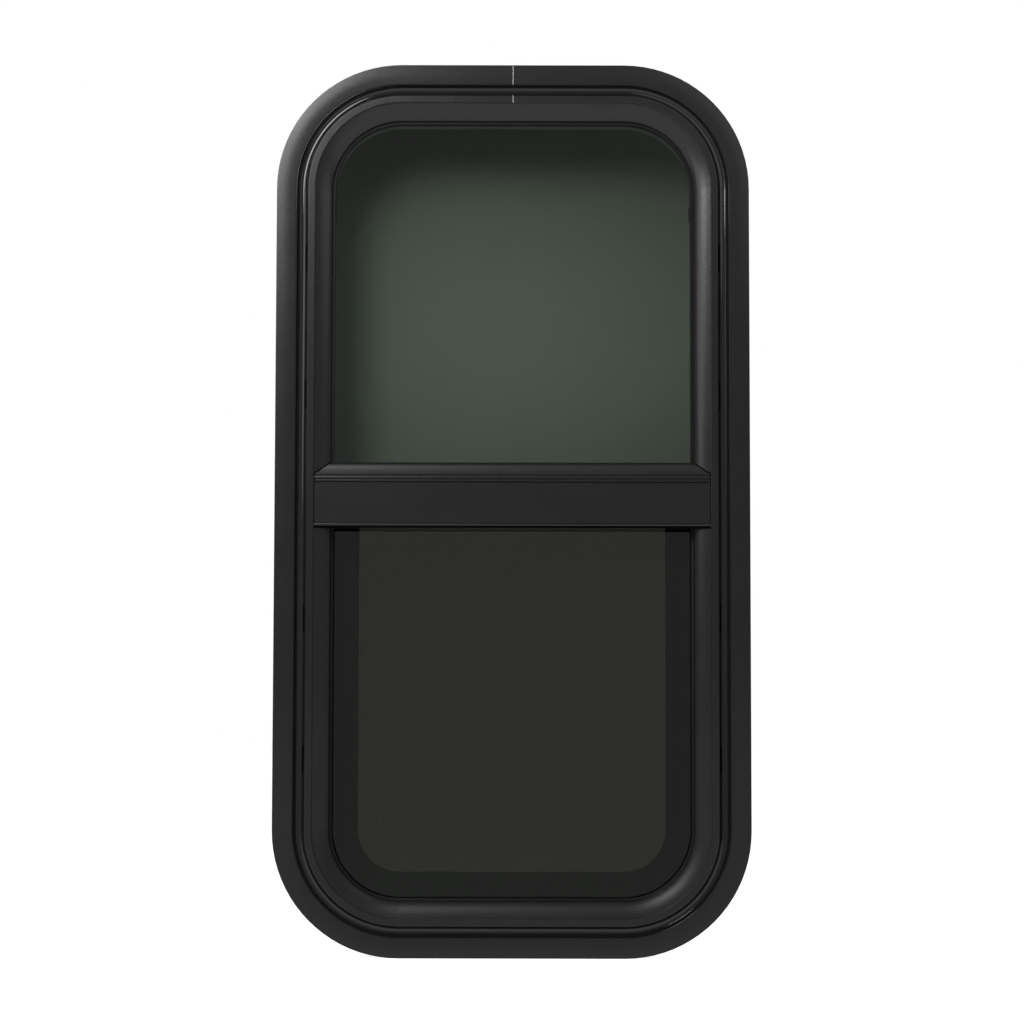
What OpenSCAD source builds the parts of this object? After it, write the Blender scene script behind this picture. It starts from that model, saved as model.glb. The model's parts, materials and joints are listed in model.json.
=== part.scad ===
// Caravan window: a black clamp-ring window for a cut-out with round corners.
// The upper pane is fixed. The lower pane is a sash that slides up behind it,
// with a fly screen on the room side.
//
// Everything is drawn lying down and stood up at the end. Lying down, X is
// across the window, Y is up it from its middle, and Z is towards the outside.
// Z = 0 is the outer skin of the wall, on which the flange sits. A section is
// drawn with its first number inwards from the outer edge of the frame and its
// second number towards the outside, so depths behind the skin are negative.

/* [Wall] */
// Width of the cut-out in the wall
cut_w = 381; // [340:1:440]
// Height of the cut-out in the wall
cut_h = 762; // [700:1:860]
// Corner radius of the cut-out
cut_r = 88.9; // [82:0.1:100]
// Thickness of the wall that the window clamps
wall_t = 38.1; // [37:0.1:48]

/* [Outer frame] */
// How far the flange laps over the wall outside the cut-out
lap = 25.4; // [25:0.1:28]
// Thickness of the frame's metal
metal_t = 1.6; // [1.2:0.1:1.8]
// Width of the flat outer band
band_w = 18.4; // [16:0.1:19]
// Height of the outer band's crown above the wall
band_rise = 6.4; // [5:0.1:7]
// Crown of the outer band across its width
band_crown = 0.5; // [0.2:0.1:1]
// Radius of the round-bottomed groove inside the band
groove_r = 5.2; // [5:0.1:5.6]
// Width of the rim inside the groove
rim_w = 7.2; // [6.8:0.1:8]
// Height of the rim above the wall
rim_rise = 10; // [9.5:0.1:12]
// Radius of the rim's front edges
rim_edge_r = 0.8; // [0.3:0.1:1]
// Radius of the round ledge that falls from the rim to the glass
ledge_r = 16; // [15:0.1:17]
// Step down from the rim to the top of the ledge
ledge_drop = 1.6; // [1.2:0.1:2]
// Depth of the ledge's inner edge behind the wall's skin
ledge_d = 5; // [4.5:0.1:6]
// Depth of the screw channel behind the wall's skin
race_d = 12; // [9:0.5:16]
// Depth of the sleeve that passes through the wall
sleeve_d = 34; // [30:0.5:36]
// Reach of the rib between the fixed pane and the sash track
front_rib_w = 11; // [9:0.5:13]
// Reach of the rib between the sash track and the screen
rear_rib_w = 14; // [12.5:0.5:14.2]

/* [Drain slots] */
// Length of each slot in the groove
slot_l = 25.4; // [15:0.1:35]
// Width of each slot
slot_w = 2.6; // [1.5:0.1:3]
// Height of the inner slots above and below the middle
slot_near = 101.6; // [80:0.1:130]
// Height of the outer slots above and below the middle
slot_far = 228.6; // [200:0.1:250]

/* [Frame joint] */
// Width of the seam at the middle of the top
seam_w = 0.3; // [0.2:0.05:0.6]
// Length of the key that joins the two ends behind the flange
key_l = 70; // [40:1:100]

/* [Glass] */
// Thickness of both panes
glass_t = 4; // [3:0.1:4.5]
// Thickness of a rubber lip beside the fixed pane
lip_t = 1.5; // [1:0.1:1.8]
// How far the fixed pane's rubber shows past the ledge
lip_show = 2.4; // [1:0.1:4]
// Cover of the frame and rubber over the edge of the fixed pane
pane_cover = 13.2; // [10:0.1:14]
// Thickness of the blocks under the fixed pane
block_t = 2.5; // [2:0.1:3]

/* [Meeting rail] */
// Top of the rail above the middle of the window
rail_top = 40.2; // [36:0.1:46]
// Bottom of the rail below the middle of the window
rail_bottom = 17.4; // [15:0.1:24]
// Radius of the rail's rounded top
rail_round_r = 14; // [12:0.1:15]
// Height of the rail's front face above the wall
rail_rise = 9; // [8.8:0.1:9.4]
// Height of the ribbed strip under the rounded top
rail_ribs_h = 7.2; // [5:0.1:9]

/* [Sash] */
// Width of the track in which the sash slides
track_w = 9; // [8.6:0.1:11]
// Top of the sash above the middle of the window
sash_top = 28; // [24:0.5:32]
// Height of the channel on the sash's top edge
sash_rail_h = 20; // [16:0.5:22]
// Thickness of the run's lining behind the glass edge
run_base_t = 1.8; // [1.2:0.1:2.4]
// Length of each latch
latch_l = 44; // [30:1:60]
// Distance of each latch from the middle
latch_x = 104; // [90:1:115]
// Length of the finger pull
pull_l = 96; // [60:1:120]

/* [Screen] */
// Width of the screen's frame
screen_bar_w = 24.8; // [20:0.1:30]
// Thickness of the screen's frame
screen_bar_t = 7.2; // [6:0.1:8]
// Thickness of the screen's sheet of mesh
mesh_t = 0.5; // [0.4:0.1:1]
// Diameter of the rubber cord that holds the mesh
spline_d = 3.6; // [3:0.1:4]
// Distance from the screen frame's inner edge to its groove for that cord
spline_edge = 3; // [2:0.1:5]

/* [Clamp ring] */
// Thickness of the clamp ring
ring_t = 2; // [1.6:0.1:3]
// Gap from the frame's outer edge to the clamp ring's, seen square on
ring_inset = 4; // [2:0.5:8]
// Diameter of the screws that draw the ring to the frame
screw_d = 3.9; // [3:0.1:3.9]
// Diameter of their heads
screw_head_d = 8; // [6.5:0.1:9]
// Distance from the middle to the screws nearest to it
screw_near = 76.2; // [60:0.1:90]

/* [Hidden] */
$fn = 96;
// A cut runs past the surface that it opens by this much
over = 1;
// Gap between pieces that lie against each other
fit = 0.1;
// Gap between pieces that slide on each other
slide = 0.3;

// The frame's outline
win_w = cut_w + 2 * lap;
win_h = cut_h + 2 * lap;
corner_r = cut_r + lap;
straight_x = win_w / 2 - corner_r;
straight_y = win_h / 2 - corner_r;

// Places across the frame's section, inwards from its outer edge
groove_mid = band_w + groove_r;
rim_out = groove_mid + groove_r;
race_out = rim_out + metal_t;
sleeve_out = rim_out + rim_w - metal_t;
sleeve_in = sleeve_out + metal_t;
race_mid = (race_out + sleeve_out) / 2;
ledge_mid = sleeve_in - 1;
ledge_in = ledge_mid + ledge_r;
front_rib_in = sleeve_in + front_rib_w;
rear_rib_in = sleeve_in + rear_rib_w;

// The middle of the groove's round, above the wall
groove_axis = metal_t + groove_r;
// Rounding of the band's outer and inner edges
band_edge_r = 1.2;
band_inner_r = 0.6;
// Rounding of the middle line of the ledge's free edge
tip_r = metal_t / 2;
// Length of each block under the fixed pane, and its place across the window
block_l = 30;
block_x = win_w / 5;
// Rounding of the front corners of the pane's rubber
rubber_edge_r = 0.5;

// The middle of the band's rounded inner edge, which stands a little past the groove's wall
edge_past = 0.15;
edge_z = band_rise - band_crown * pow(1 - 2 * band_inner_r / band_w, 2) - band_inner_r;
edge_wall = groove_mid - sqrt(pow(groove_r, 2) - pow(groove_axis - edge_z, 2));
edge_u = edge_wall + edge_past - band_inner_r;

// Depths behind the wall's skin, front to back
pane_d = ledge_d + fit + lip_t;
front_rib_d = pane_d + glass_t + lip_t + fit;
track_d = front_rib_d + metal_t;
sash_d = track_d + (track_w - glass_t) / 2;
rear_rib_d = track_d + track_w;
screen_d = rear_rib_d + metal_t + slide;
tongue_t = metal_t;
ring_leg_d = screen_d + tongue_t + slide;
sash_back = sash_d + glass_t + metal_t + fit;
screen_back = screen_d + screen_bar_t;
ring_back = wall_t + ring_t;

// Across the frame again, from the panes to the screen
rubber_in = ledge_in + lip_show;
pane_in = rubber_in - pane_cover;
run_in = front_rib_in - slide;
run_floor = sleeve_in + fit + run_base_t;
sash_in = run_floor + slide;
ring_in = rear_rib_in + slide + fit;
screen_out = ring_in + 2 * slide;
screen_in = screen_out + screen_bar_w;
spline_in = screen_in - spline_edge;
spline_out = spline_in - spline_d - 2 * fit;

// Heights from the middle of the window
rail_round_mid = rail_top - rail_round_r;
rail_shoulder = rail_round_mid + 1;
pane_low = rail_round_mid + block_t + 2 * fit;
screen_top = sash_top - sash_rail_h + 1;

// The screws that hold the rail go through the sleeve from the side
rail_screw_y = 4;
rail_screw_z = -6.5;
rail_screw_d = 3.5;
rail_screw_l = 32;
rail_head_d = 6.6;
rail_head_h = 2.2;

// The bead along the rail's lower edge, set in a little from that edge and face
rail_bead_r = 1.6;
rail_bead_y = -rail_bottom + 1;
rail_bead_z = rail_rise - 0.8;

// The pile strip on the back of the rail
pile_y = -11;
pile_w = 5;

// The latches: a rounded case, a ridged thumb slide and a round bolt
latch_h = 13;
latch_t = 7;
latch_drop = 2;
latch_edge_r = 3;
thumb_l = 15;
thumb_h = 7;
thumb_rise = 2;
thumb_ridges = 4;
ridge_w = 1.4;
ridge_rise = 2;
bolt_d = 4.5;

// The finger pull: a plate with a hooked shelf that has a round edge
pull_h = 12;
pull_t = 2;
pull_reach = 12;
pull_edge_r = 2;
pull_drop = 2;

// The stops at the top of the runs
stop_l = 14;
stop_w = rear_rib_w - run_base_t + 4;

// The screen's tongue and its two pull tabs
tongue_w = 5;
tab_l = 26;
tab_h = 9;
tab_t = 2;
tab_reach = 5;
tab_y = screen_top - (spline_out - screen_out + tab_h) / 2;

// The clamp screws' heads, their points and how close these come to the wall's skin
screw_head_h = 2.4;
screw_tip_l = 4;
screw_point_d = 0.6;
screw_bottom = 2;

// The middle of the ledge's round
ledge_axis = rim_rise - ledge_drop - ledge_r;

// The middle of the ledge's rounded free edge
tip_u = ledge_mid + sqrt(pow(ledge_r - tip_r, 2) - pow(tip_r - ledge_d - ledge_axis, 2));

// Where the clamp screws stand: along the sides, top and bottom, and at the corners
corner_reach = (corner_r - race_mid) * cos(45);
screw_spots = concat(
  [for (x = [-1, 1], y = [-slot_far, -screw_near, screw_near, slot_far])
    [x * (win_w / 2 - race_mid), y]],
  [for (x = [-screw_near, screw_near], y = [-1, 1])
    [x, y * (win_h / 2 - race_mid)]],
  [for (x = [-1, 1], y = [-1, 1])
    [x * (straight_x + corner_reach), y * (straight_y + corner_reach)]]
);

// Drawing the frame's path

module upright() {
  translate([0, 0, cut_h / 2])
    rotate([90, 0, 0])
      children();
}

// A section carried up both sides, between two heights
module sides(low, high) {
  for (side = [0, 1])
    mirror([side, 0, 0])
      one_side(low, high)
        children();
}

module one_side(low, high) {
  translate([win_w / 2, high, 0])
    rotate([90, 0, 0])
      linear_extrude(high - low)
        mirror([1, 0])
          children();
}

// A section carried across the top and round its two corners
module top_bend() {
  translate([0, win_h / 2, 0])
    rotate([90, 0, 90])
      linear_extrude(2 * straight_x, center = true)
        mirror([1, 0])
          children();
  for (side = [0, 1])
    mirror([side, 0, 0])
      translate([straight_x, straight_y, 0])
        rotate_extrude(angle = 90)
          translate([corner_r, 0])
            mirror([1, 0])
              children();
}

module bottom_bend() {
  mirror([0, 1, 0])
    top_bend()
      children();
}

module full_ring() {
  sides(-straight_y, straight_y)
    children();
  top_bend()
    children();
  bottom_bend()
    children();
}

module arch(low) {
  sides(low, straight_y)
    children();
  top_bend()
    children();
}

module cradle(high) {
  sides(-straight_y, high)
    children();
  bottom_bend()
    children();
}

// A section carried straight across, between the same distance from each side.
// Its first number is the height above the middle of the window.
module across(inset) {
  rotate([90, 0, 90])
    linear_extrude(win_w - 2 * inset, center = true)
      children();
}

// Drawing flat outlines

// The window's outline, drawn in from the frame's outer edge
module outline(inset) {
  rounded_plate(win_w - 2 * inset, win_h - 2 * inset, corner_r - inset);
}

// The part of that outline between two heights
module outline_between(inset, low, high) {
  intersection() {
    outline(inset);
    translate([-win_w / 2, low])
      square([win_w, high - low]);
  }
}

// A box of a section, from two opposite corners
module bar(a, b) {
  translate([min(a[0], b[0]), min(a[1], b[1])])
    square([abs(b[0] - a[0]), abs(b[1] - a[1])]);
}

// The same with both front corners rounded
module round_front_bar(a, b, r) {
  lo = min(a[0], b[0]);
  hi = max(a[0], b[0]);
  front = max(a[1], b[1]);
  bar(a, [b[0], front - r]);
  bar([lo + r, a[1]], [hi - r, front]);
  for (x = [lo + r, hi - r])
    translate([x, front - r])
      circle(r);
}

// A plate with rounded corners
module rounded_plate(w, h, r) {
  square([w - 2 * r, h], center = true);
  square([w, h - 2 * r], center = true);
  for (x = [-1, 1], y = [-1, 1])
    translate([x * (w / 2 - r), y * (h / 2 - r)])
      circle(r);
}

// A round-ended slot along Y
module slot_outline(l, w) {
  square([w, l - w], center = true);
  for (y = [-1, 1])
    translate([0, y * (l - w) / 2])
      circle(w / 2);
}

// Outer frame

// The crowned band, with a lip down to the wall at its outer edge
module band_section() {
  crown_r = (band_w * band_w / 4 + band_crown * band_crown) / (2 * band_crown);
  difference() {
    intersection() {
      round_front_bar([0, 0], [band_w + groove_r, band_rise], band_edge_r);
      translate([band_w / 2, band_rise - crown_r])
        circle(crown_r, $fn = 360);
    }
    bar([metal_t, -over], [band_w + groove_r + over, band_rise - metal_t]);
  }
}

// The groove's wall follows its round bottom and stands on a flat seat
module groove_section() {
  intersection() {
    translate([groove_mid, groove_axis])
      circle(groove_r + metal_t);
    bar([0, 0], [groove_mid, band_rise - band_crown - metal_t / 2]);
  }
  bar([groove_mid - groove_r / 2, 0], [race_out, metal_t]);
  bar([groove_mid, 0], [race_out, groove_axis]);
}

module groove_cut() {
  translate([groove_mid, groove_axis])
    circle(groove_r);
  bar([band_w, groove_axis], [rim_out, rim_rise + over]);
}

module rim_section() {
  difference() {
    round_front_bar([rim_out, rim_rise - 2 * metal_t], [sleeve_in, rim_rise], rim_edge_r);
    bar([race_out, 0], [sleeve_out, rim_rise - metal_t]);
  }
  bar([rim_out, -race_d], [race_out, rim_rise - metal_t]);
  bar([sleeve_out, -sleeve_d], [sleeve_in, rim_rise - metal_t]);
}

module ledge_section() {
  intersection() {
    translate([ledge_mid, ledge_axis])
      difference() {
        circle(ledge_r);
        circle(ledge_r - metal_t);
      }
    bar([sleeve_in - metal_t / 2, tip_r - ledge_d], [ledge_in + over, rim_rise]);
  }
  translate([tip_u, tip_r - ledge_d])
    circle(tip_r);
}

module rib_section() {
  bar([sleeve_in - metal_t / 2, -front_rib_d], [front_rib_in, -track_d]);
  bar([sleeve_in - metal_t / 2, -rear_rib_d], [rear_rib_in, -rear_rib_d - metal_t]);
}

module frame_section() {
  difference() {
    union() {
      band_section();
      groove_section();
    }
    groove_cut();
    bar([edge_u, edge_z], [rim_out, rim_rise]);
  }
  translate([edge_u, edge_z])
    circle(band_inner_r);
  rim_section();
  ledge_section();
  rib_section();
}

// A slot through the inner wall of the groove, into the screw channel
module drain_slot() {
  depth = groove_r + metal_t;
  translate([win_w / 2 - groove_mid, 0, groove_axis])
    rotate([0, -135, 0])
      translate([0, 0, groove_r - over])
        linear_extrude(depth)
          slot_outline(slot_l, slot_w);
}

module outer_frame() {
  color([0.09, 0.09, 0.095])
    upright()
      difference() {
        full_ring()
          frame_section();
        for (side = [0, 1], y = [slot_near, slot_far, -slot_near, -slot_far])
          mirror([side, 0, 0])
            translate([0, y, 0])
              drain_slot();
        translate([-seam_w / 2, win_h / 2 - sleeve_out, -over])
          cube([seam_w, sleeve_out + over, rim_rise + 2 * over]);
        for (side = [-1, 1])
          translate([side * (win_w / 2 - race_mid), rail_screw_y, rail_screw_z])
            rotate([0, 90, 0]) {
              cylinder(h = 2 * rim_w, d = rail_screw_d + 2 * slide, center = true);
              translate([0, 0, side * (rim_w / 2)])
                cylinder(h = rim_w, d = rail_head_d + 4 * slide, center = true);
            }
      }
}

// The key bridges the seam inside the hollow back of the band
module frame_joint_key() {
  color([0.62, 0.63, 0.64])
    upright()
      translate([0, win_h / 2, 0])
        rotate([90, 0, 90])
          linear_extrude(key_l, center = true)
            mirror([1, 0])
              bar([metal_t + fit, fit], [band_w - metal_t - fit, band_rise - metal_t - band_crown - fit]);
}

// Fixed pane

module fixed_glass() {
  color([0.2, 0.25, 0.2, 0.5])
    upright()
      translate([0, 0, -pane_d - glass_t])
        linear_extrude(glass_t)
          outline_between(pane_in, pane_low, win_h / 2);
}

// A rubber channel round the edge of the pane
module fixed_glass_gasket() {
  color([0.05, 0.05, 0.05])
    upright()
      arch(pane_low)
        difference() {
          round_front_bar([sleeve_in + fit, -front_rib_d + fit], [rubber_in, -ledge_d - fit], rubber_edge_r);
          bar([pane_in - fit, -pane_d - glass_t], [rubber_in + over, -pane_d]);
        }
}

// Two strips hold the pane's lower edge in the rail
module rail_glass_gasket() {
  color([0.05, 0.05, 0.05])
    upright()
      across(rubber_in + fit) {
        bar([rail_round_mid + rail_round_r / 2, -pane_d], [rail_top + 1, -ledge_d - fit]);
        bar([pane_low, -front_rib_d + fit], [rail_top - metal_t, -pane_d - glass_t]);
      }
}

module setting_blocks() {
  color([0.12, 0.12, 0.12])
    upright()
      for (x = [-1, 1])
        translate([x * block_x - block_l / 2, rail_round_mid + fit, -front_rib_d + fit])
          cube([block_l, block_t, front_rib_d - ledge_d - 2 * fit]);
}

// Meeting rail, drawn as a section with the height first

module rail_section() {
  back = -front_rib_d;
  // The front plate, with two grooves that leave two ribs
  difference() {
    bar([-rail_bottom, rail_rise - metal_t], [rail_shoulder, rail_rise]);
    for (i = [0:2])
      bar([rail_shoulder - rail_ribs_h * (i + 0.5) / 3, rail_rise - metal_t / 2],
          [rail_shoulder - rail_ribs_h * i / 3, rail_rise + over]);
  }
  translate([rail_bead_y, rail_bead_z])
    circle(rail_bead_r);
  // The rounded top
  intersection() {
    translate([rail_round_mid, rail_rise - rail_round_r])
      difference() {
        circle(rail_round_r);
        circle(rail_round_r - metal_t);
      }
    bar([rail_shoulder - metal_t, -ledge_d], [rail_top + over, rail_rise]);
  }
  // The floor of the glass channel, the back and the bottom
  bar([rail_round_mid - metal_t, back - metal_t], [rail_round_mid, rail_rise - metal_t / 2]);
  bar([-rail_bottom, back - metal_t], [rail_top - metal_t, back]);
  bar([-rail_bottom, back - metal_t], [-rail_bottom + metal_t, rail_rise - metal_t / 2]);
  // The boss for the fixing screws
  difference() {
    union() {
      translate([rail_screw_y, rail_screw_z])
        circle(rail_screw_d / 2 + metal_t);
      bar([rail_screw_y - metal_t, back - fit], [rail_screw_y + metal_t, rail_screw_z]);
    }
    translate([rail_screw_y, rail_screw_z])
      circle(rail_screw_d / 2 + fit / 2);
  }
}

// What the rail's ends are cut back to, so that they lie over the ledge
module cope_section() {
  bar([0, -sleeve_d], [ledge_in + fit, ledge_axis]);
  translate([ledge_mid, ledge_axis])
    circle(ledge_r + fit);
  bar([0, -sleeve_d], [sleeve_in, rim_rise + over]);
}

module meeting_rail() {
  color([0.1, 0.1, 0.105])
    upright()
      difference() {
        across(sleeve_in + fit)
          rail_section();
        sides(-rail_bottom - over, rail_top + over)
          cope_section();
      }
}

module rail_screws() {
  color([0.15, 0.15, 0.15])
    upright()
      for (side = [0, 1])
        mirror([side, 0, 0])
          translate([win_w / 2 - sleeve_out + fit, rail_screw_y, rail_screw_z])
            rotate([0, -90, 0]) {
              translate([0, 0, -rail_head_h])
                cylinder(h = rail_head_h, d = rail_head_d);
              cylinder(h = rail_screw_l, d = rail_screw_d);
            }
}

// Sash

module sash_glass() {
  color([0.2, 0.25, 0.2, 0.5])
    upright()
      translate([0, 0, -sash_d - glass_t])
        linear_extrude(glass_t)
          outline_between(sash_in, -win_h / 2, sash_top - metal_t - fit);
}

module sash_top_rail() {
  color([0.1, 0.1, 0.105])
    upright()
      across(front_rib_in + slide)
        difference() {
          bar([sash_top - sash_rail_h, -sash_back], [sash_top, -sash_d + metal_t + fit]);
          bar([-sash_rail_h, -sash_d - glass_t - fit], [sash_top - metal_t, -sash_d + fit]);
        }
}

// A strip of pile on the back of the rail brushes the sash
module sash_pile_seal() {
  color([0.2, 0.2, 0.2])
    upright()
      across(front_rib_in + 1)
        bar([pile_y, -sash_d + fit], [pile_y + pile_w, -track_d - fit]);
}

// One latch, with its bolt pointing to +X
module latch() {
  mid_y = sash_top - latch_drop - latch_h / 2;
  face = sash_back + fit + latch_t;
  translate([0, mid_y, -face])
    linear_extrude(latch_t)
      rounded_plate(latch_l, latch_h, latch_edge_r);
  translate([-latch_l / 4, mid_y, -face - thumb_rise]) {
    linear_extrude(thumb_rise + over)
      rounded_plate(thumb_l, thumb_h, thumb_h / 3);
    for (i = [0:thumb_ridges - 1])
      translate([(i - (thumb_ridges - 1) / 2) * 2 * ridge_w - ridge_w / 2, -thumb_h / 2, -ridge_rise])
        cube([ridge_w, thumb_h, ridge_rise + over]);
  }
  translate([latch_l / 2 - over, mid_y, -sash_back - latch_t / 2])
    rotate([0, 90, 0])
      cylinder(h = win_w / 2 - rear_rib_in - slide - latch_x - latch_l / 2 + over, d = bolt_d);
}

module sash_latch_left() {
  color([0.07, 0.07, 0.07])
    upright()
      mirror([1, 0, 0])
        translate([latch_x, 0, 0])
          latch();
}

module sash_latch_right() {
  color([0.07, 0.07, 0.07])
    upright()
      translate([latch_x, 0, 0])
        latch();
}

module sash_pull() {
  top = sash_top - pull_drop;
  face = -sash_back - fit;
  color([0.07, 0.07, 0.07])
    upright()
      rotate([90, 0, 90])
        linear_extrude(pull_l, center = true) {
          bar([top - pull_h, face - pull_t], [top, face]);
          bar([top - pull_t, face - pull_reach], [top, face]);
          translate([top - pull_t, face - pull_reach])
            circle(pull_edge_r);
        }
}

// Lined channels in which the sash slides, and the same seal round its foot
module run_section() {
  difference() {
    bar([sleeve_in + fit, -rear_rib_d + fit], [run_in, -track_d - fit]);
    bar([run_floor, -sash_d - glass_t - fit], [run_in + over, -sash_d + fit]);
  }
}

module sash_run_right() {
  color([0.13, 0.13, 0.13])
    upright()
      one_side(-straight_y + fit, straight_y)
        run_section();
}

module sash_run_left() {
  color([0.13, 0.13, 0.13])
    upright()
      mirror([1, 0, 0])
        one_side(-straight_y + fit, straight_y)
          run_section();
}

module sash_sill_seal() {
  color([0.13, 0.13, 0.13])
    upright()
      bottom_bend()
        run_section();
}

module sash_stops() {
  color([0.07, 0.07, 0.07])
    upright()
      sides(straight_y - 2 * stop_l, straight_y - stop_l)
        bar([run_floor + fit, -sash_d - glass_t], [run_floor + stop_w, -sash_d]);
}

// Fly screen

// A flat frame between two insets, open at the top or closed by a bar
module screen_outline(inset, top_inset) {
  outline_between(inset, -win_h / 2, screen_top - top_inset);
}

module screen_ring(out, inner) {
  difference() {
    screen_outline(out, out - screen_out);
    screen_outline(inner, inner - screen_out);
  }
}

module screen_frame() {
  color([0.08, 0.08, 0.085])
    upright() {
      difference() {
        translate([0, 0, -screen_back])
          linear_extrude(screen_bar_t)
            screen_ring(screen_out, screen_in);
        translate([0, 0, -screen_back + metal_t])
          linear_extrude(screen_bar_t - 2 * metal_t)
            screen_ring(screen_out + metal_t, spline_out - metal_t);
        translate([0, 0, -screen_back - over])
          linear_extrude(spline_d - 2 * fit + over)
            screen_ring(spline_out, spline_in);
      }
      // The tongue that slides between the rear rib and the clamp ring
      translate([0, 0, -screen_d - tongue_t])
        linear_extrude(tongue_t)
          difference() {
            outline_between(screen_out - tongue_w, -win_h / 2, screen_top - metal_t);
            outline_between(screen_out + metal_t / 2, -win_h, win_h);
          }
    }
}

module screen_mesh() {
  color([0.05, 0.05, 0.05, 0.6])
    upright()
      translate([0, 0, -screen_back - fit / 2 - mesh_t])
        linear_extrude(mesh_t)
          screen_outline(spline_in + fit, spline_in + fit - screen_out);
}

module screen_spline() {
  color([0.04, 0.04, 0.04])
    upright()
      translate([0, 0, -screen_back - fit])
        linear_extrude(spline_d - 3 * fit)
          screen_ring(spline_out + fit, spline_in - fit);
}

// Each tab is a small angle: a foot on the screen's top bar and a shelf to pull
module screen_pull_tabs() {
  color([0.07, 0.07, 0.07])
    upright()
      for (x = [-1, 1])
        translate([x * latch_x, 0, -screen_back - fit])
          rotate([90, 0, 90])
            linear_extrude(tab_l, center = true) {
              bar([tab_y, -tab_t], [tab_y + tab_h, 0]);
              bar([tab_y + tab_h - tab_t, -tab_reach], [tab_y + tab_h, 0]);
            }
}

// Clamp ring

module ring_section() {
  mirror([0, 1])
    round_front_bar([ring_inset, wall_t], [ring_in, ring_back], ring_t / 2);
  bar([ring_in - metal_t, ring_t / 2 - ring_back], [ring_in, -ring_leg_d]);
}

module clamp_ring() {
  color([0.08, 0.08, 0.085])
    upright()
      difference() {
        full_ring()
          ring_section();
        for (p = screw_spots)
          translate([p[0], p[1], -ring_back - over])
            cylinder(h = ring_t + 2 * over, d = screw_d + 2 * slide);
      }
}

// One screw, its head on the room side of the ring
module clamp_screw() {
  shank = ring_back - screw_bottom - screw_tip_l;
  translate([0, 0, -ring_back]) {
    translate([0, 0, -screw_head_h - fit])
      cylinder(h = screw_head_h, d = screw_head_d);
    translate([0, 0, -screw_head_h / 2])
      cylinder(h = shank + screw_head_h / 2, d = screw_d);
    translate([0, 0, shank])
      cylinder(h = screw_tip_l, d1 = screw_d, d2 = screw_point_d);
  }
}

module clamp_screws() {
  color([0.12, 0.12, 0.12])
    upright()
      for (p = screw_spots)
        translate([p[0], p[1], 0])
          clamp_screw();
}

outer_frame();
frame_joint_key();
fixed_glass();
fixed_glass_gasket();
rail_glass_gasket();
setting_blocks();
meeting_rail();
rail_screws();
sash_glass();
sash_top_rail();
sash_pile_seal();
sash_latch_left();
sash_latch_right();
sash_pull();
sash_run_left();
sash_run_right();
sash_sill_seal();
sash_stops();
screen_frame();
screen_mesh();
screen_spline();
screen_pull_tabs();
clamp_ring();
clamp_screws();
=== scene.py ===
"""The look of a black caravan window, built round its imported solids.

Everything is in metres in the part's own frame: X across the window, Z up it,
and the outside faces -Y. The wall's outer skin is the plane y = 0.
"""

import json
import math

import bmesh
import bpy
import numpy as np
from mathutils import Matrix, Vector


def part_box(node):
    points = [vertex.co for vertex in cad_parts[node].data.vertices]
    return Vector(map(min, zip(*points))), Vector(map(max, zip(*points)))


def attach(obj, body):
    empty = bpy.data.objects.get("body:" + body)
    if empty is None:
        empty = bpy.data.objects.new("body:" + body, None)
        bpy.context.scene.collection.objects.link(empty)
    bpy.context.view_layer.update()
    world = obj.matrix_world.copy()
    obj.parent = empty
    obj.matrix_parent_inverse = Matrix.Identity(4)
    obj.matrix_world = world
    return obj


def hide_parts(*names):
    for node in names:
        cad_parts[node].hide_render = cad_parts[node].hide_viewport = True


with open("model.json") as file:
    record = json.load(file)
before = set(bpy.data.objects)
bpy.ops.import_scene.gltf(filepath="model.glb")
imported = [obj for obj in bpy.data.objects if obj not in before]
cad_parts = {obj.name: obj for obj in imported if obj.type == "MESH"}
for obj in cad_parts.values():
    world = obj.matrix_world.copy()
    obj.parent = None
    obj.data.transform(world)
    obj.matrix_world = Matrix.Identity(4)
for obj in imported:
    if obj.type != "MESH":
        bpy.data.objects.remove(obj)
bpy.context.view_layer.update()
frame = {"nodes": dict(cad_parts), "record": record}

MM = 0.001
frame_low, frame_high = (Vector(corner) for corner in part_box("outer_frame"))
window_middle = Vector((0, 0, (frame_low.z + frame_high.z) / 2))
half_width = frame_high.x
half_height = (frame_high.z - frame_low.z) / 2

# The round corners of the frame's outline, and where its straight edges end
corner_radius = 114.3 * MM
straight_x = half_width - corner_radius
straight_z = half_height - corner_radius
foot_z = frame_low.z + corner_radius

# The frame's ledge falls to the glass in a quarter round that starts this far in from the
# outline. The rail's top does the same from this far above the window's middle.
ledge_start = 35 * MM
ledge_radius = 16 * MM
rail_round_start = 26.2 * MM
rail_round_radius = 14 * MM


# Camera

def place_camera():
    """A long lens far off and a little below the middle, rolled by a fraction of a degree."""
    distance = 2.5
    below = math.radians(4.33)
    roll = math.radians(0.11)
    pixel_angle = 3.636e-4
    middle_right_px, middle_up_px = 0.33, 4.9
    camera = bpy.data.objects.new("camera", bpy.data.cameras.new("camera"))
    bpy.context.scene.collection.objects.link(camera)
    camera.data.sensor_width = 36
    camera.data.lens = 96.68
    camera.data.clip_end = 50
    place = window_middle + distance * Vector((0, -math.cos(below), -math.sin(below)))
    ahead = (window_middle - place).normalized()
    right = ahead.cross(Vector((0, 0, 1))).normalized()
    up = right.cross(ahead)
    ahead = ahead - right * middle_right_px * pixel_angle - up * middle_up_px * pixel_angle
    ahead.normalize()
    right = ahead.cross(Vector((0, 0, 1))).normalized()
    up = right.cross(ahead)
    turned_right = right * math.cos(roll) + up * math.sin(roll)
    turned_up = turned_right.cross(ahead)
    turn = Matrix((turned_right, turned_up, -ahead)).transposed()
    camera.matrix_world = Matrix.Translation(place) @ turn.to_4x4()
    bpy.context.scene.camera = camera


# Writing materials as expressions

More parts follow.
